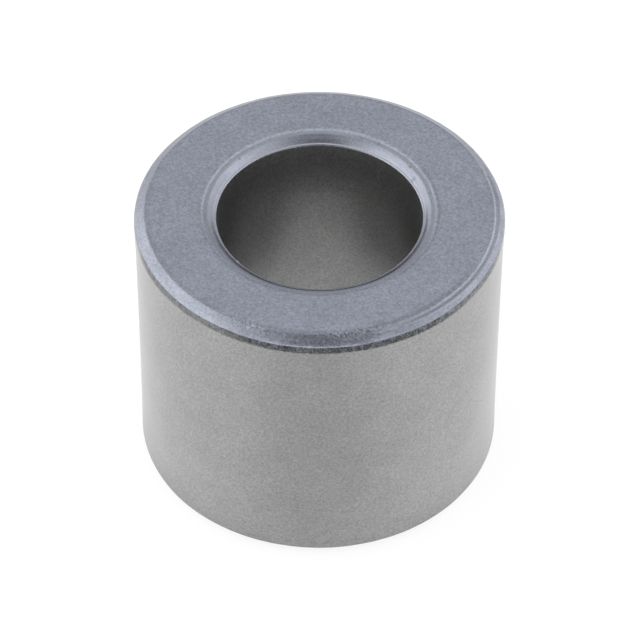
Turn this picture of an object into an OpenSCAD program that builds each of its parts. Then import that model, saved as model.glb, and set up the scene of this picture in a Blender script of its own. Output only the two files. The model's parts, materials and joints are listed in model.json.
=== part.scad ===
// Ferrite toroid core: one pressed and sintered ring that slips over a cable.
// The origin is on the axis at the bottom end face, +Z runs along the bore.

/* [Ring] */
// Outer diameter of the barrel
outer_d = 18; // [14:0.5:30]
// Diameter of the straight bore
bore_d = 10; // [4:0.5:14]
// Length along the axis, over both end faces
length = 15; // [5:0.5:40]

/* [Outer rim] */
// Radial width of the bevel between the end face and its foot
rim_bevel_w = 0.37; // [0.2:0.01:0.8]
// Axial depth of that bevel
rim_bevel_h = 0.38; // [0.2:0.01:0.8]
// Width of the flat ledge that the punch edge leaves at the foot of the bevel
rim_land = 0.13; // [0.05:0.01:0.4]
// Radius that softens the shoulder where the end face turns into the bevel
rim_shoulder_r = 0.15; // [0.05:0.01:0.4]

/* [Bore mouth] */
// Radial width of the bowed bevel round the bore mouth
mouth_bevel_w = 0.57; // [0.3:0.01:0.8]
// Axial depth of that bevel
mouth_bevel_h = 0.36; // [0.25:0.01:0.6]
// Width of the flat ledge that the punch edge leaves at the bore
mouth_land = 0.16; // [0.05:0.01:0.4]
// Radius of the bow, larger for a straighter bevel
mouth_bow_r = 1.35; // [1:0.05:4]

/* [Hidden] */
$fn = 180;

ferrite_grey = [0.57, 0.58, 0.61];

outer_r = outer_d / 2;
bore_r = bore_d / 2;
// Radii at which the flat of each end face stops
face_outer_r = outer_r - rim_land - rim_bevel_w;
face_inner_r = bore_r + mouth_land + mouth_bevel_w;
// How far a cutting shape runs past the surface it opens
overcut = 1;

// Shoulder arc: its centre lies rim_shoulder_r under the face, and it touches the face and the bevel
rim_angle = atan2(rim_bevel_h, rim_bevel_w);
shoulder_run = rim_shoulder_r * tan(rim_angle / 2);

// Bow arc: its centre lies on the middle line of the chord between the face and the ledge
bow_chord = norm([mouth_bevel_w, mouth_bevel_h]);
bow_reach = sqrt(mouth_bow_r * mouth_bow_r - bow_chord * bow_chord / 4);
bow_centre = [
    face_inner_r - mouth_bevel_w / 2 + bow_reach * mouth_bevel_h / bow_chord,
    -mouth_bevel_h / 2 - bow_reach * mouth_bevel_w / bow_chord,
];

// What a punch leaves empty at the outer rim, drawn with the end face on the X axis
module rim_relief() {
    difference() {
        polygon([
            [face_outer_r - shoulder_run, 0],
            [face_outer_r - shoulder_run, overcut],
            [outer_r + overcut, overcut],
            [outer_r + overcut, -rim_bevel_h],
            [outer_r - rim_land, -rim_bevel_h],
            [
                face_outer_r + shoulder_run * cos(rim_angle),
                -shoulder_run * sin(rim_angle),
            ],
        ]);
        translate([face_outer_r - shoulder_run, -rim_shoulder_r])
            circle(r = rim_shoulder_r);
    }
}

// What a punch leaves empty at the bore mouth, drawn with the end face on the X axis
module mouth_relief() {
    difference() {
        translate([bore_r - overcut, -mouth_bevel_h])
            square([bow_centre[0] - bore_r + overcut, mouth_bevel_h + overcut]);
        translate(bow_centre)
            circle(r = mouth_bow_r);
    }
}

// Half section of the ring: radius along X, height along Y
module ring_section() {
    difference() {
        translate([bore_r, 0])
            square([outer_r - bore_r, length]);
        for (top = [false, true])
            translate([0, top ? length : 0])
                mirror([0, top ? 0 : 1]) {
                    rim_relief();
                    mouth_relief();
                }
    }
}

// The whole core, spun from its section
module core() {
    color(ferrite_grey)
        rotate_extrude()
            ring_section();
}

core();
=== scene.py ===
"""Looks of a ferrite toroid core: one pressed and sintered ring on a plain white stage."""

import json
from math import asin, atan2, cos, degrees, exp, hypot, pi, radians, sin, sqrt, tan

import bmesh
import bpy
from bpy.props import FloatProperty, FloatVectorProperty, IntProperty, PointerProperty
from bpy.types import NodeSocket, Operator, Panel, PropertyGroup
from mathutils import Matrix, Vector, noise


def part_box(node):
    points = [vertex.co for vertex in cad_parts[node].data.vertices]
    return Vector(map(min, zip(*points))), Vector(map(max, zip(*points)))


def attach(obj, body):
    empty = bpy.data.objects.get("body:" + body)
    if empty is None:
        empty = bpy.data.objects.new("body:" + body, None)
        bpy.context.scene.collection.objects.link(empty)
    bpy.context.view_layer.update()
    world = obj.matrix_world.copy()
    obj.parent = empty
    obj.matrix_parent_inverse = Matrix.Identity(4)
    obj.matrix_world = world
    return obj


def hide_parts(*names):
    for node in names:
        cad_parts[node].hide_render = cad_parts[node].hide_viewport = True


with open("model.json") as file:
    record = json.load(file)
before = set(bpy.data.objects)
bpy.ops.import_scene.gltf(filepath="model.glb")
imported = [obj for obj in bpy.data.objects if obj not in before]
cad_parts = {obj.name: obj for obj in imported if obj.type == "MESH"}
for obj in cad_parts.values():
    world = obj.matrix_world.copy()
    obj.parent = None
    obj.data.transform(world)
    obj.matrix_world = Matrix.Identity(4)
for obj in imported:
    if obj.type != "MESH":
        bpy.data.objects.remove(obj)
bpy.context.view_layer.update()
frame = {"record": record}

bl_info = {
    "name": "Ferrite Toroid Core",
    "version": (1, 0, 0),
    "blender": (4, 5, 0),
    "location": "3D View > Sidebar > Ferrite Core",
    "description": "Models a pressed ferrite ring with its rims, press marks and finishes, on a white stage",
    "category": "Add Mesh",
}

MM = 0.001
MERGE = 0.0001 * MM
SECTORS = 30


def mount_sizes(name):
    """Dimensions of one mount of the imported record, in metres."""
    for mount in frame["record"]["mounts"]:
        if mount["name"] == name:
            return {key.removesuffix("_mm"): size * MM for key, size in mount["dims"].items()}
    raise LookupError(f"the record has no mount named {name}")


CORE_LOW, CORE_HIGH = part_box("core")
CORE_LENGTH = CORE_HIGH.z - CORE_LOW.z
BARREL = mount_sizes("barrel")
BORE = mount_sizes("cable_bore")


def length(name, description, default):
    """A size in metres."""
    return FloatProperty(
        name=name, description=description, default=default, unit="LENGTH", subtype="DISTANCE", precision=5
    )


def angle(name, description, turn):
    """A turn, written here in degrees."""
    return FloatProperty(
        name=name, description=description, default=radians(turn), unit="ROTATION", subtype="ANGLE"
    )


def share(name, description, default):
    """A part of a whole, from 0 to 1."""
    return FloatProperty(
        name=name, description=description, default=default, min=0, max=1, subtype="FACTOR"
    )


def level(name, description, default):
    """The brightness of a light or of a lit surface, where 1 is white."""
    return FloatProperty(name=name, description=description, default=default, min=0, soft_max=4)


def colour(name, description, default):
    """A linear surface colour."""
    return FloatVectorProperty(
        name=name, description=description, default=default, size=3, min=0, max=1, subtype="COLOR"
    )


class FerriteSection(PropertyGroup):
    """Sizes of the ring's section."""

    barrel_radius: length("Barrel radius", "Outer radius of the ring", BARREL["r"])
    bore_radius: length("Bore radius", "Radius of the straight bore", BORE["r"])
    height: length("Height", "Length along the axis, over both end faces", CORE_LENGTH)
    rim_depth: length(
        "Rim depth", "Axial depth of the outer bevel", (CORE_LENGTH - BARREL["length"]) / 2
    )
    rim_width: length("Rim width", "Radial width of the outer bevel", 0.37 * MM)
    rim_land: length("Rim ledge", "Width of the ledge at the foot of the outer bevel", 0.13 * MM)
    shoulder_radius: length("Shoulder radius", "Rounding between end face and outer bevel", 0.15 * MM)
    mouth_depth: length(
        "Mouth depth", "Axial depth of the bowed bevel at the bore", (CORE_LENGTH - BORE["length"]) / 2
    )
    mouth_width: length("Mouth width", "Radial width of the bowed bevel at the bore", 0.57 * MM)
    mouth_land: length("Mouth ledge", "Width of the ledge between that bevel and the bore", 0.16 * MM)
    bow_radius: length("Bow radius", "Radius of the bowed bevel", 1.35 * MM)
    edge_radius: length("Edge rounding", "Rounding of the creases and ledge corners", 0.03 * MM)
    rim_edge_radius: length(
        "Rim edge rounding", "Rounding between the outer ledge and the barrel", 0.05 * MM
    )
    bore_edge_radius: length(
        "Bore edge rounding", "Rounding between the mouth ledge and the bore", 0.08 * MM
    )
    segments: IntProperty(
        name="Segments", description="Steps of the spin round the axis", default=840, min=90
    )


class FerriteMarks(PropertyGroup):
    """Marks that pressing and handling leave on the ring."""

    top_flare: length(
        "Top flare", "How far sintering leaves the top of the barrel outside its middle", 0.062 * MM
    )
    bottom_flare: length("Bottom flare", "The same at the bottom", 0.028 * MM)
    flare_reach: length("Flare reach", "How far along the barrel the flare dies away", 1.5 * MM)
    edge_waver: length("Edge waver", "How far the ledges stray from a true circle", 0.01 * MM)
    crease_oval: length(
        "Crease oval", "How much further out the mouth's crease lies at the front and back", 0.14 * MM
    )
    bow_shift: length("Bow shift", "How much further out the bow starts at the front left", 0.055 * MM)
    bow_sag: length("Bow sag", "How much deeper the middle of the bow lies at the back", 0.02 * MM)
    mouth_lean: length("Mouth lean", "How much deeper the mouth lies at the front", 0.08 * MM)
    bore_flare: length(
        "Bore flare", "How far sintering leaves the ends of the bore outside its middle", 0.024 * MM
    )
    crumble_depth: length(
        "Crumble depth", "Depth of the crumbled patches at the front of the shoulder", 0.065 * MM
    )
    score_depth: length(
        "Score depth", "Height of the lip, and depth of the groove beside it, on the right", 0.012 * MM
    )
    bottom_turn: angle(
        "Bottom turn", "How far the wear of the bottom end is turned from that of the top", 140
    )
    bottom_wear: share("Bottom wear", "Share of the top rim's wear that the bottom rim shows", 0.4)
    band_height: length("Band height", "Height of the crumbled band under the top rim", 0.325 * MM)
    band_slant: length("Band slant", "How much higher the band is on its high side", 0.05 * MM)
    band_high_side: angle("Band high side", "Direction in which the band is highest", 222)
    granule_size: length("Granule size", "Width of the press granules that show in the band", 0.12 * MM)
    granule_depth: length("Granule depth", "Depth of the pits between those granules", 0.03 * MM)


class FerriteFinish(PropertyGroup):
    """Colours and gloss of the ferrite."""

    face_colour: colour("End face", "Colour of the flat end faces", (0.288, 0.308, 0.367))
    bevel_colour: colour("Bevels", "Colour of the bevels that the punches burnish", (0.272, 0.287, 0.338))
    barrel_colour: colour("Barrel", "Colour of the outer wall", (0.285, 0.285, 0.285))
    bore_colour: colour("Bore", "Colour of the bore wall", (0.285, 0.285, 0.283))
    band_colour: colour("Band", "Colour of the crumbled band", (0.099, 0.104, 0.112))
    lustre: share("Lustre", "Share of the metallic lustre of sintered ferrite", 0.85)
    bore_lustre: share("Bore lustre", "The same in the bore", 0.95)
    band_lustre: share("Band lustre", "The same in the crumbled band", 0.2)
    face_roughness: share("End face roughness", "Roughness of the flat end faces", 0.45)
    rim_roughness: share("Rim roughness", "Roughness of the outer bevels", 0.32)
    mouth_roughness: share("Mouth roughness", "Roughness of the burnished bevels at the bore", 0.26)
    barrel_roughness: share("Barrel roughness", "Roughness of the outer wall", 0.32)
    bore_roughness: share("Bore roughness", "Roughness of the bore wall", 0.36)
    band_roughness: share("Band roughness", "Roughness of the crumbled band", 0.75)
    grain_size: length("Grain size", "Width of the fine grain", 0.115 * MM)
    grain_depth: length("Grain depth", "Height of the fine grain", 0.004 * MM)
    grain_contrast: share("Grain contrast", "How much the fine grain changes the colour", 0.215)
    streak_size: length("Streak width", "Width of the punch marks that run round the bevels", 0.05 * MM)
    streak_length: length("Streak length", "Length of those marks", 0.9 * MM)
    mottle_size: length("Mottle size", "Width of the soft patches", 1.6 * MM)
    mottle_contrast: share("Mottle contrast", "How much the soft patches change the colour", 0.05)
    # This lift scales the painted highlights and shade, and the crumb speckle, kept on the ring's points
    painted_light_and_crumbs_lift: share("Worn lift", "How much lighter a fully worn place is", 0.35)


class FerriteStage(PropertyGroup):
    """Camera, light and floor."""

    lens: FloatProperty(
        name="Lens", description="Focal length in millimetres", default=216.57, unit="CAMERA"
    )
    distance: length("Distance", "From the camera to the middle of the ring", 192.8 * MM)
    elevation: angle("Elevation", "How far the camera looks down", 45.206)
    roll: angle("Roll", "Tilt of the camera about its view", 0.322)
    aim_right: length("Aim right", "How far the view's middle lies right of the ring's", 0.048 * MM)
    aim_down: length("Aim down", "How far the view's middle lies below the ring's", 0.073 * MM)
    tent_level: level("Tent", "Brightness of the tent round the ring", 0.98)
    room_level: level("Room", "Brightness of the dark room behind the camera", 0.192)
    room_colour: colour("Room colour", "Tint of the dark room behind the camera", (0.94, 0.96, 1.0))
    left_level: level("Left light", "What the soft light at the left adds to the tent", 0.97)
    right_level: level("Right light", "What the soft light at the right adds to the tent", 0.54)
    high_level: level("High light", "What the soft light high at the right adds to the tent", 0.27)
    shade_level: level("Back shade", "What the shade low at the back takes from the tent", 0.42)
    floor_glow: level("Floor glow", "Brightness of the lit table under the ring", 0.85)
    side_glow: level("Side glow", "What the lit table adds to the left and right of the ring", 0.3)
    near_glow: level("Near glow", "What the lit table adds close to the ring", 0.1)
    bore_shade: level("Bore shade", "What the table loses at the sides of the bore", 0.85)
    floor_colour: colour("Floor", "Colour of the table", (0.2, 0.2, 0.2))


class SectionPen:
    """Draws an open wire in the XZ plane, where X is the radius and Z the height."""

    def __init__(self, bm, radius, height):
        self.bm = bm
        self.tip = bm.verts.new((radius, 0, height))
        self.corners = {}

    def line(self, radius, height, rows=1):
        """Draws a straight stretch, split into rows."""
        start = self.tip.co.copy()
        end = Vector((radius, 0, height))
        for row in range(1, rows + 1):
            grown = bmesh.ops.extrude_vert_indiv(self.bm, verts=[self.tip])
            self.tip = grown["verts"][0]
            self.tip.co = start.lerp(end, row / rows)

    def arc(self, centre, turn, rows):
        """Draws an arc about a centre, clockwise with the height pointing up."""
        grown = bmesh.ops.spin(
            self.bm, geom=[self.tip], cent=(centre[0], 0, centre[1]), axis=(0, 1, 0), angle=turn, steps=rows
        )
        self.tip = next(item for item in grown["geom_last"] if isinstance(item, bmesh.types.BMVert))

    def corner(self, rounding):
        """Keeps the point just drawn as an edge that gets a small rounding."""
        self.corners.setdefault(rounding, []).append(self.tip)

    def round_corners(self, rows):
        """Rounds every kept corner."""
        for rounding, points in self.corners.items():
            bmesh.ops.bevel(
                self.bm, geom=points, offset=rounding, offset_type="OFFSET", segments=rows,
                profile=0.5, affect="VERTICES", material=-1, clamp_overlap=True,
            )


# How far in from the rim's shoulder, and out from the mouth's crease, the end face is worn
WORN_SHOULDER = 0.3 * MM
WORN_CREASE = 0.3 * MM


class SectionLines:
    """Radii and angles that follow from the sizes of the section."""

    def __init__(self, section):
        self.face_inner = section.bore_radius + section.mouth_land + section.mouth_width
        self.face_outer = section.barrel_radius - section.rim_land - section.rim_width
        self.bevel_foot = section.barrel_radius - section.rim_land
        self.rim_angle = atan2(section.rim_depth, section.rim_width)

    def shoulder_start(self, rounding):
        """Radius at which the end face starts to turn into the outer bevel."""
        return self.face_outer - rounding * tan(self.rim_angle / 2)


def bow_arc(section, face_radius):
    """Centre and turn of the bowed bevel, which runs from the mouth ledge up to the end face."""
    width = section.mouth_width
    depth = section.mouth_depth
    chord = hypot(width, depth)
    reach = sqrt(section.bow_radius ** 2 - chord ** 2 / 4)
    centre = (
        face_radius - width / 2 + reach * depth / chord,
        section.height - depth / 2 - reach * width / chord,
    )
    return centre, 2 * asin(chord / 2 / section.bow_radius)


def draw_half_section(bm, section, marks):
    """Draws the upper half of the section, from mid bore over the end face to mid barrel."""
    lines = SectionLines(section)
    top = section.height
    mouth_ledge = top - section.mouth_depth
    rim_ledge = top - section.rim_depth
    shoulder_start = lines.shoulder_start(section.shoulder_radius)
    band_reach = marks.band_height + 2 * marks.granule_size

    pen = SectionPen(bm, section.bore_radius, top / 2)
    pen.line(section.bore_radius, mouth_ledge, rows=2)
    pen.corner(section.bore_edge_radius)
    pen.line(section.bore_radius + section.mouth_land, mouth_ledge)
    pen.corner(section.edge_radius)
    pen.arc(*bow_arc(section, lines.face_inner), rows=10)
    pen.corner(section.edge_radius)
    pen.line(lines.face_inner + WORN_CREASE, top, rows=3)
    pen.line(lines.face_outer - WORN_SHOULDER, top)
    pen.line(shoulder_start, top, rows=4)
    pen.arc((shoulder_start, top - section.shoulder_radius), lines.rim_angle, rows=4)
    pen.line(lines.bevel_foot, rim_ledge, rows=8)
    pen.corner(section.edge_radius)
    pen.line(section.barrel_radius, rim_ledge)
    pen.corner(section.rim_edge_radius)
    pen.line(section.barrel_radius, rim_ledge - band_reach, rows=8)
    pen.line(section.barrel_radius, rim_ledge - 2 * marks.flare_reach, rows=5)
    pen.line(section.barrel_radius, top / 2)
    pen.round_corners(rows=2)


def spin_ring(bm, section):
    """Mirrors the half section to the bottom end, spins one sector and repeats it round the axis."""
    bmesh.ops.mirror(
        bm, geom=bm.verts[:] + bm.edges[:], matrix=Matrix.Translation((0, 0, -section.height / 2)),
        merge_dist=MERGE, axis="Z",
    )
    sector = 2 * pi / SECTORS
    axis = {"cent": (0, 0, 0), "axis": (0, 0, 1)}
    bmesh.ops.spin(
        bm, geom=bm.verts[:] + bm.edges[:], angle=sector, steps=section.segments // SECTORS, **axis
    )
    bmesh.ops.spin(
        bm, geom=bm.verts[:] + bm.edges[:] + bm.faces[:], angle=2 * pi - sector, steps=SECTORS - 1,
        use_duplicate=True, **axis,
    )
    bmesh.ops.remove_doubles(bm, verts=bm.verts[:], dist=MERGE)
    bmesh.ops.recalc_face_normals(bm, faces=bm.faces[:])


ZONES = ("end_face", "rim", "mouth", "barrel", "bore")


def zone_of(centre, section):
    """Which finish a face of the ring takes, from where its middle lies."""
    lines = SectionLines(section)
    slack = section.edge_radius
    radius = hypot(centre.x, centre.y)
    depth = min(centre.z, section.height - centre.z)
    if radius < lines.face_inner - slack:
        return "bore" if depth > section.mouth_depth + slack / 2 else "mouth"
    if radius < lines.face_outer - slack:
        return "end_face"
    return "barrel" if depth > section.rim_depth + slack / 2 else "rim"


def smooth(value):
    """An even step from 0 to 1."""
    value = min(max(value, 0), 1)
    return value * value * (3 - 2 * value)


def hump(distance, width):
    """A soft hump, 1 in the middle."""
    return exp(-((distance / width) ** 2))


def ridge(middle, width):
    """A mark that is strongest along one line round the ring. Both sizes are in millimetres across it."""
    return lambda across: hump(across - middle * MM, width * MM)


def step(start, run):
    """A mark that comes in over a run. Both sizes are in millimetres across the ring."""
    return lambda across: smooth((across - start * MM) / (run * MM))


def stretch(azimuth, start, end, fade_in, fade_out):
    """How much a direction belongs to a stretch of the ring, all in degrees."""
    along = (azimuth - start) % 360
    if along > end - start:
        return 0
    return smooth(along / fade_in) * smooth((end - start - along) / fade_out)


def depth_on(profile, out):
    """Depth of a worn profile at one distance out."""
    before = profile[0]
    for point in profile:
        if out / MM <= point[0]:
            width = point[0] - before[0]
            along = (out / MM - before[0]) / width if width else 0
            return (before[1] + along * (point[1] - before[1])) * MM
        before = point
    return before[1] * MM


def granules(place, size):
    """A bumpy noise from 0 to 1."""
    return 0.5 + 0.5 * noise.noise(place / size)


# Worn profiles of the rim and the mouth, in millimetres: distance out from the shoulder or crease, and depth
RIM_PROFILES = {
    "back": ((-0.06, 0), (0.04, 0.035), (0.5, 0.38)),
    "left": ((0.0, 0), (0.05, 0.012), (0.11, 0.055), (0.5, 0.36)),
    "front": (
        (-0.26, 0), (-0.1, 0.01), (0.0, 0.045), (0.09, 0.105), (0.36, 0.385), (0.385, 0.41), (0.5, 0.415),
    ),
    "near_right": (
        (-0.3, 0), (-0.2, 0.005), (-0.04, 0), (0.037, 0.006), (0.087, 0.046), (0.12, 0.052),
        (0.27, 0.048), (0.3, 0.07), (0.5, 0.42),
    ),
    "right": (
        (-0.3, 0), (-0.2, 0.005), (-0.04, 0), (0.014, 0.006), (0.087, 0.046), (0.12, 0.052),
        (0.24, 0.046), (0.28, 0.072), (0.5, 0.31),
    ),
}
MOUTH_PROFILE = (
    (-0.73, 0.34), (-0.59, 0.32), (-0.55, 0.295), (-0.49, 0.238), (-0.43, 0.182), (-0.37, 0.132),
    (-0.31, 0.088), (-0.25, 0.056), (-0.15, 0.042), (-0.06, 0.03), (0.04, 0.006), (0.11, 0),
)

# Stretches of the ring, in degrees: start, end, and how far each takes to fade in and out.
# The rim's back profile holds where no other does.
RIM_STRETCHES = {
    "left": (140, 258, 30, 24),
    "front": (234, 299, 24, 20),
    "near_right": (279, 328, 20, 18),
    "right": (310, 384, 18, 25),
}
BAND_STRETCH = (190, 350, 16, 18)
DARK_BAND_STRETCH = (232, 325, 28, 30)
CRUMBLED_STRETCH = (238, 296, 20, 16)
CRUMB_STRETCHES = ((237, 256, 6, 6), (268, 297, 9, 9))
SCORED_STRETCH = (288, 383, 5, 25)
WIDE_GROOVE_STRETCH = (293, 338, 12, 14)
BRIGHT_LIP_STRETCH = (322, 398, 40, 25)
BRIGHT_CREASE_STRETCH = (325, 570, 40, 50)
LEFT_BOW_STRETCH = (148, 255, 45, 50)
RIGHT_BOW_STRETCH = (285, 375, 30, 45)
RIGHT_CREASE_STRETCH = (330, 382, 25, 20)

# Marks across the rim, out from its shoulder
SHOULDER_CRUMBS = ridge(-0.03, 0.11)
FACE_BORDER = ridge(-0.12, 0.11)
# The next ridge places the painted highlight on the lip; the crest after it is raised in the mesh
RIM_LIP = ridge(0.055, 0.042)
RIM_LIP_CREST = ridge(0.035, 0.03)
RIM_LEDGE = step(0.3, 0.1)
GROOVE_PLACE = 0.18
GROOVE_WIDTH = 0.06
GROOVE_SPREAD = 0.02
LIP_BREAK = 332.5
LIP_BREAK_WIDTH = 1.5

# Marks across the mouth, in from its crease
BOW_MIDDLE = ridge(0.25, 0.12)
# The next two place a painted highlight along the crease and painted shade beside it
CREASE_HIGHLIGHT = ridge(0.01, 0.055)
CREASE_BORDER = ridge(-0.15, 0.07)
UNDER_CREASE = step(0.15, 0.2)
MOUTH_LEDGE = step(0.56, 0.06)
BORE_EDGE = step(0.57, 0.16)
BOW_END = 0.56 * MM
BOW_RUN = 0.42 * MM


def above_ledge(inward):
    """The foot of the bow, short of the bore's edge, where a highlight is painted."""
    return step(0.5, 0.06)(inward) * (1 - BORE_EDGE(inward))


# Painted highlights and painted shade: how much lighter or darker, in parts of the lift, on which stretch,
# and where across it
RIM_PAINTED_LIGHT = (
    # Rim: painted shade along the end face's border at the front and front right and at the left, painted
    # highlights on the outer bevel at the front left and at the front
    (-0.65, (240, 336, 18, 14), FACE_BORDER),
    (-0.2, RIM_STRETCHES["left"], FACE_BORDER),
    (0.55, (222, 263, 16, 14), step(0.2, 0.17)),
    (0.4, (280, 296, 8, 8), step(0.05, 0.2)),
)
MOUTH_PAINTED_LIGHT = (
    # Mouth: painted shade under the crease at the right and at the left, a painted highlight under it at the
    # back right, painted shade just outside the crease, and painted highlights on the bow's foot at the back
    # right and at the left
    (-0.15, (342, 385, 20, 20), UNDER_CREASE),
    (-0.3, (150, 215, 22, 25), UNDER_CREASE),
    (0.35, (46, 86, 14, 14), UNDER_CREASE),
    (-0.5, (170, 400, 30, 25), ridge(-0.11, 0.07)),
    (0.5, (0, 85, 15, 35), above_ledge),
    (0.5, (152, 208, 20, 20), above_ledge),
)
# Tones, in the same parts: painted highlights on the lip, the crease and the ledges, painted light and shade
# in the groove, painted shade beside the crease and in the dents, and the speckle of the crumbled places
LIP_HIGHLIGHT = 1.1
GROOVE_TONE = 0.3
WIDE_GROOVE_SHADE = -0.8
LEDGE_HIGHLIGHT = 1.05
CRUMBLED_TONE = -3.6
CRUMB_TONE = -4.5
CRUMB_PALE = 0.1
CREASE_BORDER_SHADE = -0.15
BACK_LEDGE_HIGHLIGHT = 1.5
FRONT_LEDGE_HIGHLIGHT = 0.6
BORE_EDGE_DIM = 0.6
NICK_SHADE = -30

# Sizes of crumbs, pits and the ledge's waver, in granules
COARSE_CRUMB = 0.8
FINE_CRUMB = 0.5
PIT_SIZE = 0.6
LEDGE_WAVER = 3
# Levels of the coarse and the fine noise at which a crumb lies flush
FLUSH_CRUMB = 0.4
FLUSH_FINE = 0.5
# How far in from the shoulder the crumbled patch starts, as a share of the worn border
CRUMBLED_START = 0.6
# Wave length of the edges' waver, and how many times shorter it is along the axis
EDGE_WAVE = 2.2 * MM
AXIAL_WAVES = 3
# Share of the barrel's flare that the edge of the rim shows, and the bevel depths over which the rest opens
EDGE_FLARE = 0.75
FLARE_OPENING = 0.6
# How many bevel depths into the barrel and bore the wear of the edge reaches
EDGE_REACH = 4
# Strength of the band where it is faint
FAINT_BAND = 0.52
# Shares of the mouth's lean at the back, and of the bow's shift
REAR_LEAN = 0.3
RIGHT_BOW = 0.45
RIGHT_CREASE = 0.5
EVEN_BOW = 0.55
# The band's scale, in granules in from its border: its ends, the edge of the rim, and half the border
BAND_LIMIT = 4
BAND_AT_EDGE = 2
BAND_HALF_BORDER = 0.5

# How many widths from its middle a dent reaches
NICK_REACH = 3
# Small dents: azimuth in degrees, then radius, width and depth in millimetres
NICKS = (
    (28.2, 5.25, 0.09, 0.035),
    (219.5, 5.03, 0.09, -0.03),
    (123.0, 5.64, 0.06, 0.015),
    (127.0, 5.6, 0.06, 0.025),
    (137.0, 5.48, 0.06, 0.025),
    (68.0, 5.63, 0.07, 0.025),
    (58.7, 5.67, 0.07, 0.03),
    (35.6, 5.53, 0.07, 0.03),
    (13.8, 5.57, 0.06, 0.025),
)


class RingPoint:
    """One point of the ideal ring: where it lies, what wear makes of it, and the highlights, shade and
    speckle painted on it.
    """

    def __init__(self, place, section, marks):
        self.place = place
        self.is_top = place.z > section.height / 2
        self.radius = hypot(place.x, place.y)
        self.depth = section.height - place.z if self.is_top else place.z
        self.azimuth = degrees(atan2(place.y, place.x))
        self.turned = self.azimuth if self.is_top else self.azimuth + degrees(marks.bottom_turn)
        self.flare = marks.top_flare if self.is_top else marks.bottom_flare
        self.wear = 1 if self.is_top else marks.bottom_wear
        self.to_back = sin(radians(self.turned))
        self.to_front = max(-self.to_back, 0) ** 2
        self.to_rear = REAR_LEAN * max(self.to_back, 0)
        wave = Vector((place.x, place.y, AXIAL_WAVES * place.z)) / EDGE_WAVE
        self.stray = marks.edge_waver * noise.noise(wave)
        self.band = -BAND_LIMIT
        self.fill = 0
        self.painted_light_and_crumbs = 0

    def on(self, *stretches):
        """How much the point belongs to some stretches of the ring."""
        return sum(stretch(self.turned, *place) for place in stretches)

    def add_painted_light(self, tones, across):
        """Adds painted highlights and shade at one distance across the rim or the mouth."""
        self.painted_light_and_crumbs += sum(tone * self.on(place) * mark(across) for tone, place, mark in tones)

    def rim_depth(self, out):
        """Depth of the worn rim, whose profiles mix where two of them meet."""
        shares = {name: self.wear * self.on(place) for name, place in RIM_STRETCHES.items()}
        depth = (1 - sum(shares.values())) * depth_on(RIM_PROFILES["back"], out)
        for name, part in shares.items():
            if part:
                depth += part * depth_on(RIM_PROFILES[name], out)
        return depth


def wear_rim_and_paint_light(point, out, run, marks):
    """Wears the border of the end face, the outer bevel and its ledge, and paints highlights, shade and
    speckle on them.
    """
    on_ledge = RIM_LEDGE(out)
    crumbled = point.wear * point.on(CRUMBLED_STRETCH) * smooth(CRUMBLED_START + out / WORN_SHOULDER)
    crumbs = point.wear * SHOULDER_CRUMBS(out) * point.on(*CRUMB_STRETCHES)
    crumb = granules(point.place, COARSE_CRUMB * marks.granule_size) - FLUSH_CRUMB
    fine = granules(point.place, FINE_CRUMB * marks.granule_size) - FLUSH_FINE
    scored = point.wear * point.on(SCORED_STRETCH)
    wide = point.on(WIDE_GROOVE_STRETCH)
    groove = ridge(GROOVE_PLACE + GROOVE_SPREAD * wide, GROOVE_WIDTH + GROOVE_SPREAD * wide)(out)
    lip = RIM_LIP(out) * (1 - hump(point.turned % 360 - LIP_BREAK, LIP_BREAK_WIDTH))

    point.depth = point.rim_depth(out)
    point.depth += crumbs * crumb * marks.crumble_depth
    point.depth += on_ledge * marks.edge_waver * noise.noise(point.place / (LEDGE_WAVER * marks.granule_size))
    point.depth += scored * marks.score_depth * (groove - RIM_LIP_CREST(out))
    point.radius += point.stray * max(out / run, 0) + EDGE_FLARE * point.flare * smooth(out / run)

    # A painted highlight on the lip, painted light in the groove that turns to painted shade where it is
    # wide, a painted highlight on the ledge at the front, and speckle in the crumbled places
    point.painted_light_and_crumbs += LIP_HIGHLIGHT * point.on(BRIGHT_LIP_STRETCH) * lip
    point.painted_light_and_crumbs += scored * (GROOVE_TONE + WIDE_GROOVE_SHADE * wide) * groove
    point.painted_light_and_crumbs += crumbled * (LEDGE_HIGHLIGHT * on_ledge + CRUMBLED_TONE * fine)
    point.painted_light_and_crumbs += crumbs * CRUMB_TONE * (fine + crumb - CRUMB_PALE)
    point.add_painted_light(RIM_PAINTED_LIGHT, out)
    point.band = (out - run) / marks.granule_size - BAND_HALF_BORDER


def wear_barrel(point, below, edge_depth, section, marks):
    """Carries the rim's wear into the barrel, opens its end and crumbles the band under the top rim."""
    fading = 1 - smooth(below / (EDGE_REACH * section.rim_depth))
    point.depth += (edge_depth - section.rim_depth) * fading
    opened = EDGE_FLARE + (1 - EDGE_FLARE) * smooth(below / (FLARE_OPENING * section.rim_depth))
    point.radius += point.stray + point.flare * opened * exp(-below / marks.flare_reach)
    reach = marks.band_height + marks.band_slant * cos(radians(point.azimuth) - marks.band_high_side)
    point.band = min((reach - below) / marks.granule_size, BAND_AT_EDGE + below / marks.granule_size)
    pit = granules(point.place, PIT_SIZE * marks.granule_size)
    pitted = point.is_top * point.fill * smooth(point.band + BAND_HALF_BORDER)
    point.radius -= pitted * pit * marks.granule_depth


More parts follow.
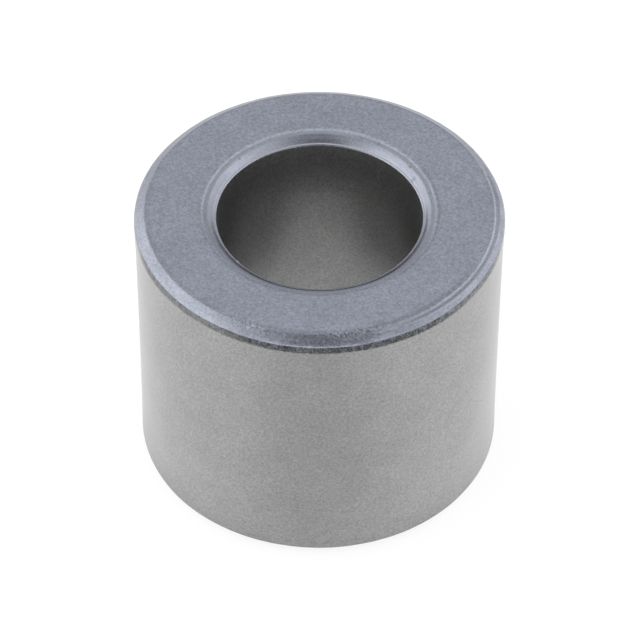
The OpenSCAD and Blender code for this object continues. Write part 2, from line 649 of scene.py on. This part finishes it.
def wear_mouth_and_paint_light(point, inward, marks):
    """Wears the crease, the bowed bevel and its ledge, paints highlights and shade on them, and returns how
    far in the point then lies.
    """
    upper = min(max((BOW_END - inward) / BOW_RUN, 0), 1)
    at_edge = BORE_EDGE(inward)
    sag = BOW_MIDDLE(inward) * point.to_back ** 2 * (1 - 2 * point.to_front ** 2)
    shifted = point.on(LEFT_BOW_STRETCH) + RIGHT_BOW * point.on(RIGHT_BOW_STRETCH) - EVEN_BOW
    shifted -= RIGHT_CREASE * point.on(RIGHT_CREASE_STRETCH)
    # A painted highlight on the mouth's ledge: strongest at the back, weaker at the front, none at the sides,
    # dimmed at the bore's edge
    facing = max(BACK_LEDGE_HIGHLIGHT * point.to_back, -FRONT_LEDGE_HIGHLIGHT * point.to_back)
    point.painted_light_and_crumbs += MOUTH_LEDGE(inward) * (1 - BORE_EDGE_DIM * at_edge) * facing
    point.add_painted_light(MOUTH_PAINTED_LIGHT, inward)

    inward += upper * (marks.crease_oval * point.to_back ** 2 + marks.bow_shift * shifted)
    lean = point.to_front * (1 - upper) - point.to_rear * at_edge
    point.depth = depth_on(MOUTH_PROFILE, -inward) + marks.mouth_lean * lean + marks.bow_sag * sag
    point.radius += marks.bore_flare * at_edge
    # A painted highlight along the crease, with painted shade beside it on the end face
    crease = CREASE_HIGHLIGHT(inward) + CREASE_BORDER_SHADE * CREASE_BORDER(inward)
    point.painted_light_and_crumbs += point.on(BRIGHT_CREASE_STRETCH) * crease
    return inward


def wear_bore(point, below, edge_depth, section, marks):
    """Carries the mouth's wear into the bore and opens the bore's end."""
    fading = 1 - smooth(below / (EDGE_REACH * section.mouth_depth))
    point.depth += (edge_depth - section.mouth_depth) * fading
    point.radius += marks.bore_flare * exp(-below / marks.flare_reach)


def wear_point_and_paint_light(point, section, marks, lines):
    """Moves one point to where pressing, sintering and handling leave it, and paints its highlights, shade
    and speckle.
    """
    out = point.radius - lines.face_outer
    inward = lines.face_inner - point.radius
    if out > -WORN_SHOULDER:
        run = section.barrel_radius - lines.face_outer
        below = point.depth - section.rim_depth
        dark = point.on(DARK_BAND_STRETCH)
        point.fill = point.on(BAND_STRETCH) * (FAINT_BAND + (1 - FAINT_BAND) * dark)
        if below < MERGE and out < run - section.rim_edge_radius + MERGE:
            wear_rim_and_paint_light(point, out, run, marks)
        else:
            wear_barrel(point, below, point.rim_depth(run), section, marks)
    elif inward > -WORN_CREASE - MERGE:
        run = lines.face_inner - section.bore_radius
        below = point.depth - section.mouth_depth
        if below < MERGE and inward < run - section.bore_edge_radius + MERGE:
            inward = wear_mouth_and_paint_light(point, inward, marks)
        else:
            lean = marks.mouth_lean * (point.to_front - point.to_rear)
            wear_bore(point, below, depth_on(MOUTH_PROFILE, -run) + lean, section, marks)
        point.radius += point.stray * min(max(inward / run, 0), 1)


def nick_and_shade_mouth(point, nicks):
    """Presses the small dents into the mouth, with painted shade in each as deep as it is, and lighter paint
    on the one mark that stands up.
    """
    for nick_x, nick_y, width, sunk in nicks:
        away = hypot(point.place.x - nick_x, point.place.y - nick_y)
        if away < NICK_REACH * width:
            point.depth += sunk * hump(away, width)
            point.painted_light_and_crumbs += NICK_SHADE * sunk / MM * hump(away, width)


def wear_ring_and_paint_light(bm, section, marks):
    """Wears every point of the ideal ring, and keeps the highlights, shade and speckle painted on it for the
    finishes.
    """
    lines = SectionLines(section)
    band_layer = bm.verts.layers.float.new("band")
    fill_layer = bm.verts.layers.float.new("band_fill")
    painted_light_and_crumbs_layer = bm.verts.layers.float.new("painted_light_and_crumbs")
    nicks = [
        (radius * cos(radians(turn)) * MM, radius * sin(radians(turn)) * MM, width * MM, sunk * MM)
        for turn, radius, width, sunk in NICKS
    ]
    for vert in bm.verts:
        point = RingPoint(vert.co.copy(), section, marks)
        wear_point_and_paint_light(point, section, marks, lines)
        if point.is_top and point.depth < 2 * section.mouth_depth:
            nick_and_shade_mouth(point, nicks)

        vert[band_layer] = min(max(point.band, -BAND_LIMIT), BAND_LIMIT) if point.is_top else -BAND_LIMIT
        vert[fill_layer] = point.fill
        vert[painted_light_and_crumbs_layer] = point.painted_light_and_crumbs
        vert.co = heading(radians(point.azimuth), 0) * point.radius
        vert.co.z = section.height - point.depth if point.is_top else point.depth


def heading(azimuth, elevation):
    """The direction of an azimuth and an elevation."""
    return Vector((cos(azimuth) * cos(elevation), sin(azimuth) * cos(elevation), sin(elevation)))


def add_node(tree, kind, inputs=None, **settings):
    """Adds a node. An input given as a socket is linked, any other value is set on the input itself."""
    made = tree.nodes.new(kind)
    for name, value in settings.items():
        setattr(made, name, value)
    for key, value in (inputs or {}).items():
        if isinstance(value, NodeSocket):
            tree.links.new(value, made.inputs[key])
        else:
            made.inputs[key].default_value = value
    return made


def math_node(tree, operation, *values):
    """Output of a Math node on up to three values or sockets."""
    return add_node(tree, "ShaderNodeMath", dict(enumerate(values)), operation=operation).outputs[0]


def noise_node(tree, vector, size, detail=1.0):
    """Output of a noise whose features are about one size wide, from 0 to 1."""
    made = add_node(
        tree, "ShaderNodeTexNoise", {"Vector": vector, "Scale": 1 / size, "Detail": detail, "Roughness": 0.5}
    )
    return made.outputs[0]


def swing(tree, value, contrast):
    """A factor round 1 that follows a value from 0 to 1."""
    return math_node(tree, "MULTIPLY_ADD", value, 4 * contrast, 1 - 2 * contrast)


def map_node(tree, value, low, high, out_low, out_high):
    """A value stretched from one range to another with soft ends."""
    return add_node(
        tree, "ShaderNodeMapRange",
        {"Value": value, "From Min": low, "From Max": high, "To Min": out_low, "To Max": out_high},
        interpolation_type="SMOOTHSTEP",
    ).outputs[0]


def attribute_node(tree, name):
    """A number kept on the points of the mesh."""
    return add_node(tree, "ShaderNodeAttribute", attribute_name=name).outputs["Fac"]


def scaled_colour(tree, colour_value, factor):
    """A colour times a factor."""
    return add_node(
        tree, "ShaderNodeVectorMath", {0: colour_value, "Scale": factor}, operation="SCALE"
    ).outputs[0]


def mixed(tree, factor, first, second):
    """A number between two others."""
    return add_node(tree, "ShaderNodeMix", {0: factor, 2: first, 3: second}).outputs[0]


def mixed_colour(tree, factor, first, second):
    """A colour between two others."""
    return add_node(tree, "ShaderNodeMix", {0: factor, 6: first, 7: second}, data_type="RGBA").outputs[2]


def ring_streaks(tree, place, finish):
    """A noise drawn out round the axis, like the marks of a punch."""
    parts = add_node(tree, "ShaderNodeSeparateXYZ", {0: place}).outputs
    squares = [math_node(tree, "MULTIPLY", part, part) for part in (parts[0], parts[1])]
    across = math_node(tree, "SQRT", math_node(tree, "ADD", *squares))
    lengths = [math_node(tree, "DIVIDE", part, finish.streak_length) for part in (parts[0], parts[1])]
    width = math_node(tree, "DIVIDE", math_node(tree, "ADD", across, parts[2]), finish.streak_size)
    streak_place = add_node(tree, "ShaderNodeCombineXYZ", {0: lengths[0], 1: lengths[1], 2: width}).outputs[0]
    return noise_node(tree, streak_place, 1.0)


# How far the fine grain changes the roughness
GRAIN_GLOSS = 0.1
# How sharp the band's ragged border is, in granules, and how wide its teeth are, in grains
BAND_BORDER = 0.25
RAGGED_WIDTH = 0.7
# Specks in the band: their width in grains, the range of the noise that counts, and the factors it gives
BLOTCHES = (2.0, 0.35, 0.65, 0.8, 1.22)
COARSE_SPECKS = (2.2, 0.3, 0.7, 0.7, 1.5)
FINE_SPECKS = (0.7, 0.32, 0.68, 0.35, 1.8)


def specks(tree, place, finish, width, low, high, out_low, out_high):
    """A noise some grains wide, as a factor."""
    return map_node(tree, noise_node(tree, place, width * finish.grain_size), low, high, out_low, out_high)


def crumbled_band(tree, place, finish):
    """How much of the crumbled band shows at each place, and its colour."""
    ragged = math_node(
        tree, "MULTIPLY_ADD", noise_node(tree, place, RAGGED_WIDTH * finish.grain_size), 2.0, -1.0
    )
    inside = math_node(tree, "ADD", attribute_node(tree, "band"), ragged)
    blotch = specks(tree, place, finish, *BLOTCHES)
    fill = math_node(tree, "MULTIPLY", attribute_node(tree, "band_fill"), blotch)
    band = math_node(tree, "MULTIPLY", map_node(tree, inside, -BAND_BORDER, BAND_BORDER, 0.0, 1.0), fill)
    coarse = specks(tree, place, finish, *COARSE_SPECKS)
    fine = specks(tree, place, finish, *FINE_SPECKS)
    return band, scaled_colour(tree, finish.band_colour, math_node(tree, "MULTIPLY", coarse, fine))


def ferrite_material(
    name, finish, surface_colour, roughness, lustre, grain_share=1.0, streaks=0.0, has_band=False
):
    """Sintered ferrite: fine grain, soft patches, a metallic lustre, and the highlights, shade and speckle
    painted on the ring's points.
    """
    material = bpy.data.materials.new(name)
    material.use_nodes = True
    tree = material.node_tree
    tree.nodes.clear()
    place = add_node(tree, "ShaderNodeTexCoord").outputs["Object"]

    grain = noise_node(tree, place, finish.grain_size)
    mottle = noise_node(tree, place, finish.mottle_size, detail=2.0)
    shade = math_node(
        tree, "MULTIPLY",
        swing(tree, grain, finish.grain_contrast * grain_share), swing(tree, mottle, finish.mottle_contrast),
    )
    if streaks:
        shade = math_node(tree, "MULTIPLY", shade, swing(tree, ring_streaks(tree, place, finish), streaks))
    # Painted highlights and shade, and crumb speckle, kept on the points lighten or darken the colour here
    painted_light_and_crumbs = math_node(tree, "MULTIPLY_ADD", attribute_node(tree, "painted_light_and_crumbs"), finish.painted_light_and_crumbs_lift, 1.0)
    base = scaled_colour(tree, surface_colour, math_node(tree, "MULTIPLY", shade, painted_light_and_crumbs))
    gloss = math_node(tree, "MULTIPLY_ADD", grain, GRAIN_GLOSS, roughness - GRAIN_GLOSS / 2)
    relief = add_node(
        tree, "ShaderNodeBump", {"Height": grain, "Distance": finish.grain_depth, "Strength": 1.0}
    ).outputs[0]

    if has_band:
        band, dark = crumbled_band(tree, place, finish)
        base = mixed_colour(tree, band, base, dark)
        gloss = mixed(tree, band, gloss, finish.band_roughness)
        lustre = mixed(tree, band, lustre, finish.band_lustre)

    surface = add_node(
        tree, "ShaderNodeBsdfPrincipled",
        {"Base Color": base, "Roughness": gloss, "Metallic": lustre, "Normal": relief},
    )
    add_node(tree, "ShaderNodeOutputMaterial", {"Surface": surface.outputs[0]})
    return material


def ferrite_finishes(finish):
    """The finish of each zone, in the order of ZONES."""
    return (
        ferrite_material(
            "ferrite_end_face", finish, finish.face_colour, finish.face_roughness, finish.lustre
        ),
        ferrite_material(
            "ferrite_rim", finish, finish.bevel_colour, finish.rim_roughness, finish.lustre,
            grain_share=0.8, streaks=0.08, has_band=True,
        ),
        ferrite_material(
            "ferrite_mouth", finish, finish.bevel_colour, finish.mouth_roughness, finish.lustre,
            grain_share=0.4, streaks=0.12,
        ),
        ferrite_material(
            "ferrite_barrel", finish, finish.barrel_colour, finish.barrel_roughness, finish.lustre,
            grain_share=0.9, has_band=True,
        ),
        ferrite_material(
            "ferrite_bore", finish, finish.bore_colour, finish.bore_roughness, finish.bore_lustre
        ),
    )


class FERRITE_OT_press_core(Operator):
    """Models the ring with its rims and press marks, and gives each zone its finish"""

    bl_idname = "ferrite.press_core"
    bl_label = "Press Core"

    def execute(self, context):
        section = context.scene.ferrite_section
        marks = context.scene.ferrite_marks
        finish = context.scene.ferrite_finish

        bm = bmesh.new()
        draw_half_section(bm, section, marks)
        spin_ring(bm, section)
        for face in bm.faces:
            face.smooth = True
            face.material_index = ZONES.index(zone_of(face.calc_center_median(), section))
        wear_ring_and_paint_light(bm, section, marks)

        mesh = bpy.data.meshes.new("pressed_core")
        bm.to_mesh(mesh)
        bm.free()
        core = bpy.data.objects.new("pressed_core", mesh)
        context.scene.collection.objects.link(core)
        core.modifiers.new("Flat faces", "WEIGHTED_NORMAL")

        for material in ferrite_finishes(finish):
            mesh.materials.append(material)

        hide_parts("core")
        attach(core, "root")
        return {"FINISHED"}


# Half the width of the table, and how far it lies below the ring
TABLE_REACH = 0.8
TABLE_GAP = 0.02 * MM
# Where the table's glow changes: share of a place that lies sideways, then distances from the ring's axis
SIDEWAYS_SHARE = (0.1, 0.8)
RING_EDGE = (CORE_HIGH.x - MM, CORE_HIGH.x + 2 * MM)
NEAR_RING = (CORE_HIGH.x, CORE_HIGH.x + 8 * MM)
IN_BORE = (CORE_HIGH.x / 2, CORE_HIGH.x)
BORE_SIDE = (3.3 * MM, BORE["r"])


def table_glow(tree, stage):
    """Brightness of the mirrored table: more at the sides and close by, less at the sides of the bore."""
    place = add_node(tree, "ShaderNodeTexCoord").outputs["Object"]
    away = add_node(tree, "ShaderNodeVectorMath", {0: place}, operation="LENGTH").outputs["Value"]
    sideways = math_node(tree, "ABSOLUTE", add_node(tree, "ShaderNodeSeparateXYZ", {0: place}).outputs[0])
    sideways_share = math_node(tree, "DIVIDE", sideways, away)
    to_side = map_node(tree, sideways_share, *SIDEWAYS_SHARE, 0.0, stage.side_glow)
    outside = map_node(tree, away, *RING_EDGE, 0.0, 1.0)
    near = map_node(tree, away, *NEAR_RING, stage.near_glow, 0.0)
    lift = math_node(tree, "MULTIPLY", math_node(tree, "ADD", to_side, near), outside)
    in_bore = map_node(tree, away, *IN_BORE, 1.0, 0.0)
    bore_side = map_node(tree, sideways, *BORE_SIDE, 0.0, -stage.bore_shade)
    lift = math_node(tree, "ADD", lift, math_node(tree, "MULTIPLY", in_bore, bore_side))
    return math_node(tree, "ADD", lift, stage.floor_glow)


def floor_material(stage):
    """A lit white table: white to the camera and in reflections, plain pale to everything else."""
    material = bpy.data.materials.new("white_table")
    material.use_nodes = True
    material.cycles.emission_sampling = "NONE"
    tree = material.node_tree
    tree.nodes.clear()
    mirrored_level = table_glow(tree, stage)
    path = add_node(tree, "ShaderNodeLightPath")
    seen_level = math_node(tree, "MULTIPLY", path.outputs["Is Camera Ray"], stage.floor_glow)
    glow_level = math_node(tree, "MULTIPLY_ADD", path.outputs["Is Glossy Ray"], mirrored_level, seen_level)
    paint = add_node(tree, "ShaderNodeBsdfDiffuse", {"Color": (*stage.floor_colour, 1)})
    glow = add_node(tree, "ShaderNodeEmission", {"Strength": glow_level})
    lit = add_node(tree, "ShaderNodeAddShader", {0: paint.outputs[0], 1: glow.outputs[0]})
    clear = add_node(tree, "ShaderNodeBsdfTransparent")
    below = add_node(tree, "ShaderNodeNewGeometry").outputs["Backfacing"]
    both = add_node(tree, "ShaderNodeMixShader", {0: below, 1: lit.outputs[0], 2: clear.outputs[0]})
    add_node(tree, "ShaderNodeOutputMaterial", {"Surface": both.outputs[0]})
    return material


def lay_floor(context, stage):
    """Lays the table just under the ring."""
    bm = bmesh.new()
    bmesh.ops.create_grid(bm, x_segments=1, y_segments=1, size=TABLE_REACH)
    bmesh.ops.translate(bm, verts=bm.verts[:], vec=(0, 0, -TABLE_GAP))
    mesh = bpy.data.meshes.new("floor")
    bm.to_mesh(mesh)
    bm.free()
    mesh.materials.append(floor_material(stage))
    floor = bpy.data.objects.new("floor", mesh)
    context.scene.collection.objects.link(floor)


# Soft lights of the tent, in degrees: azimuth, elevation, and how far from there each is full and gone
SOFT_LIGHTS = {
    "left_level": (174, 18, 24, 55),
    "right_level": (18, 17, 25, 51),
    "high_level": (3, 49, 10, 30),
}
BACK_SHADE = (84, 6, 10, 46)
CAMERA_AZIMUTH = -90
# The slit that the camera looks through: sideways share of a direction, and degrees away from the camera
SLIT_WIDTH = (0.105, 0.38)
SLIT_REACH = (28, 57)
# Width of the film that the lens is measured for, in millimetres, and where the camera starts to see
FILM_WIDTH = 36
NEAR_CLIP = 0.01


def light_patch(tree, direction, azimuth, elevation, full, gone):
    """How much a direction of the tent belongs to a round patch with a soft edge, all in degrees."""
    middle = heading(radians(azimuth), radians(elevation))
    facing = add_node(
        tree, "ShaderNodeVectorMath", {0: direction, 1: middle}, operation="DOT_PRODUCT"
    ).outputs["Value"]
    return map_node(tree, facing, cos(radians(gone)), cos(radians(full)), 0.0, 1.0)


def hang_tent(context, stage):
    """Puts the ring in a white tent with soft lights, which is open, and so dark, behind the camera."""
    world = bpy.data.worlds.new("tent")
    world.use_nodes = True
    context.scene.world = world
    tree = world.node_tree
    tree.nodes.clear()
    direction = add_node(tree, "ShaderNodeTexCoord").outputs["Generated"]
    parts = add_node(tree, "ShaderNodeSeparateXYZ", {0: direction}).outputs
    lit = stage.tent_level
    for name, patch in SOFT_LIGHTS.items():
        lit = math_node(
            tree, "MULTIPLY_ADD", light_patch(tree, direction, *patch), getattr(stage, name), lit
        )
    lit = math_node(
        tree, "MULTIPLY_ADD", light_patch(tree, direction, *BACK_SHADE), -stage.shade_level, lit
    )
    reach = light_patch(tree, direction, CAMERA_AZIMUTH, degrees(stage.elevation), *SLIT_REACH)
    sideways = math_node(tree, "ABSOLUTE", parts[0])
    opening = math_node(tree, "MULTIPLY", reach, map_node(tree, sideways, *SLIT_WIDTH, 1.0, 0.0))
    seen = add_node(tree, "ShaderNodeLightPath").outputs["Is Camera Ray"]
    strength = mixed(tree, seen, mixed(tree, opening, lit, stage.room_level), 1.0)
    tinted = math_node(tree, "MULTIPLY", opening, math_node(tree, "SUBTRACT", 1.0, seen))
    tint = mixed_colour(tree, tinted, (1, 1, 1, 1), (*stage.room_colour, 1))
    glow = add_node(tree, "ShaderNodeBackground", {"Strength": strength, "Color": tint})
    add_node(tree, "ShaderNodeOutputWorld", {"Surface": glow.outputs[0]})


def place_camera(context, stage, target):
    """Puts the camera at the photograph's view."""
    camera = bpy.data.cameras.new("camera")
    camera.lens = stage.lens
    camera.sensor_width = FILM_WIDTH
    camera.clip_start = NEAR_CLIP
    outward = heading(radians(CAMERA_AZIMUTH), stage.elevation)
    turn = outward.to_track_quat("Z", "Y").to_matrix() @ Matrix.Rotation(stage.roll, 3, "Z")
    holder = bpy.data.objects.new("camera", camera)
    shift = turn @ Vector((stage.aim_right, -stage.aim_down, 0))
    holder.matrix_world = Matrix.Translation(target + outward * stage.distance + shift) @ turn.to_4x4()
    context.scene.collection.objects.link(holder)
    context.scene.camera = holder


class FERRITE_OT_set_stage(Operator):
    """Lays the floor and sets the light and the camera"""

    bl_idname = "ferrite.set_stage"
    bl_label = "Set Stage"

    def execute(self, context):
        stage = context.scene.ferrite_stage
        middle = (CORE_LOW + CORE_HIGH) / 2
        lay_floor(context, stage)
        hang_tent(context, stage)
        place_camera(context, stage, middle)
        context.scene.view_settings.view_transform = "Standard"
        return {"FINISHED"}


class FERRITE_PT_core(Panel):
    """Lists the steps and settings of the core"""

    bl_idname = "FERRITE_PT_core"
    bl_label = "Ferrite Core"
    bl_space_type = "VIEW_3D"
    bl_region_type = "UI"
    bl_category = "Ferrite Core"

    def draw(self, context):
        layout = self.layout
        layout.use_property_split = True
        for operator in (FERRITE_OT_press_core, FERRITE_OT_set_stage):
            layout.operator(operator.bl_idname)
        for name in SETTINGS:
            settings = getattr(context.scene, name)
            box = layout.box()
            box.label(text=settings.bl_rna.description)
            for key in settings.__annotations__:
                box.prop(settings, key)


SETTINGS = {
    "ferrite_section": FerriteSection,
    "ferrite_marks": FerriteMarks,
    "ferrite_finish": FerriteFinish,
    "ferrite_stage": FerriteStage,
}
CLASSES = (*SETTINGS.values(), FERRITE_OT_press_core, FERRITE_OT_set_stage, FERRITE_PT_core)


def register():
    """Registers the classes and hangs the settings on the scene."""
    for cls in CLASSES:
        bpy.utils.register_class(cls)
    for name, group in SETTINGS.items():
        setattr(bpy.types.Scene, name, PointerProperty(type=group))


def unregister():
    """Takes the settings and classes away again."""
    for name in SETTINGS:
        delattr(bpy.types.Scene, name)
    for cls in reversed(CLASSES):
        bpy.utils.unregister_class(cls)


def main():
    """Builds the whole scene."""
    register()
    bpy.ops.ferrite.press_core()
    bpy.ops.ferrite.set_stage()


if __name__ == "__main__":
    main()
